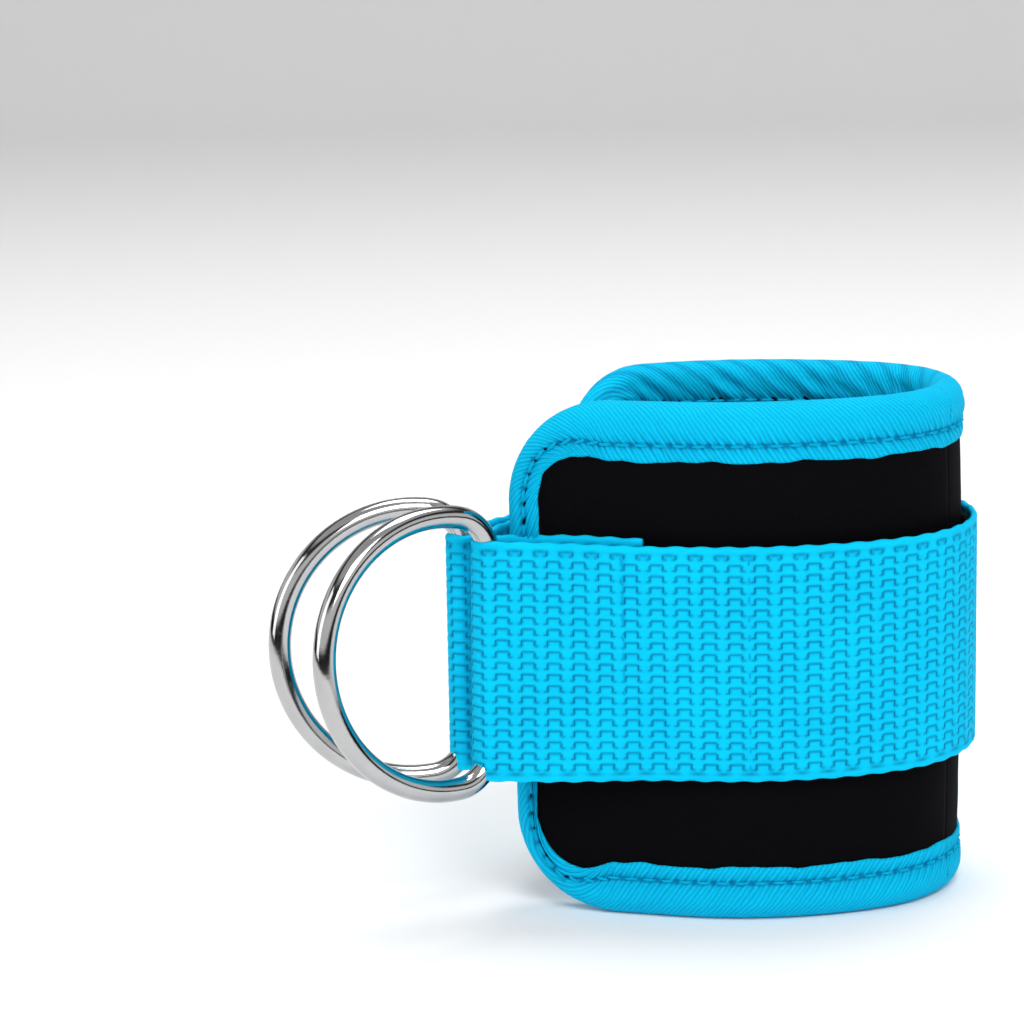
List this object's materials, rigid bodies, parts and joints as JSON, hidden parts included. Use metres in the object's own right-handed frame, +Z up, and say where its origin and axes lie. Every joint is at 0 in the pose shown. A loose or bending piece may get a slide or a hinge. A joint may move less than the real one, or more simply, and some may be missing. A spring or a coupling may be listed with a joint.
{
  "type": "padded ankle strap",
  "caption": "Padded ankle strap for a cable machine: curled neoprene pad with bound edges, webbing strap and swinging steel D-rings.",
  "frame": {"origin": "middle of the leg opening, on the plane that the cuff stands on", "axes": "+Z up through the leg opening, +X along the cuff from the D-rings to the bend, -Y towards the front panel"},
  "size_m": [0.1503, 0.09, 0.111],
  "materials": {
    "neoprene": "matt black knitted face on neoprene",
    "lining": "matt black knitted lining",
    "foam": "closed-cell foam",
    "binding": "cyan twill tape",
    "webbing": "cyan woven webbing",
    "hook_tape": "black hook tape",
    "loop_tape": "black loop tape",
    "thread": "cyan sewing thread",
    "ring_steel": "polished steel wire"
  },
  "bodies": {
    "back_half": {"core_back": "foam", "cover_back": "neoprene", "lining_back": "lining", "binding_back": "binding", "strap_side": "webbing", "strap_rear": "webbing", "hook_tape_rear": "hook_tape", "loop_tape": "loop_tape", "seam_side": "thread", "seam_far_fold": "thread"},
    "bend_rear": {"core_bend_rear": "foam", "cover_bend_rear": "neoprene", "lining_bend_rear": "lining", "binding_bend_rear": "binding", "strap_bend_rear": "webbing", "hook_tape_bend_rear": "hook_tape"},
    "bend_front": {"core_bend_front": "foam", "cover_bend_front": "neoprene", "lining_bend_front": "lining", "binding_bend_front": "binding", "strap_bend_front": "webbing", "hook_tape_bend_front": "hook_tape"},
    "front_half": {"core_front": "foam", "cover_front": "neoprene", "lining_front": "lining", "binding_front": "binding", "strap_front": "webbing", "hook_tape_front": "hook_tape", "seam_front": "thread", "seam_near_fold": "thread"},
    "strap_end": {"strap_end": "webbing", "hook_tape_end": "hook_tape"},
    "near_ring": {"near_ring": "ring_steel"},
    "far_ring": {"far_ring": "ring_steel"}
  },
  "joints": [
    {"name": "flex_rear", "type": "hinge", "parent": "back_half", "child": "bend_rear", "pos_m": [0.04035, 0.02762, 0.057], "axis": [0, 0, 1], "range_deg": [0, 60]},
    {"name": "flex_middle", "type": "hinge", "parent": "bend_rear", "child": "bend_front", "pos_m": [0.05629, 0, 0.057], "axis": [0, 0, 1], "range_deg": [0, 60]},
    {"name": "flex_front", "type": "hinge", "parent": "bend_front", "child": "front_half", "pos_m": [0.04035, -0.02762, 0.057], "axis": [0, 0, 1], "range_deg": [0, 60]},
    {"name": "strap_peel", "type": "hinge", "parent": "back_half", "child": "strap_end", "pos_m": [0.03152, 0.03146, 0.057], "axis": [0, 0, -1], "range_deg": [0, 110]},
    {"name": "near_ring_swing", "type": "hinge", "parent": "front_half", "child": "near_ring", "pos_m": [-0.0477, -0.0282, 0.059], "axis": [0.0123, 0.1596, 0.9871], "range_deg": [-12, 90]},
    {"name": "far_ring_swing", "type": "hinge", "parent": "back_half", "child": "far_ring", "pos_m": [-0.0535, -0.0185, 0.059], "axis": [-0.0019, -0.1267, -0.9919], "range_deg": [-5, 60]}
  ],
  "couplings": [
    {"joint": "flex_middle", "follows": "flex_rear", "ratio": 1},
    {"joint": "flex_front", "follows": "flex_rear", "ratio": 1}
  ]
}
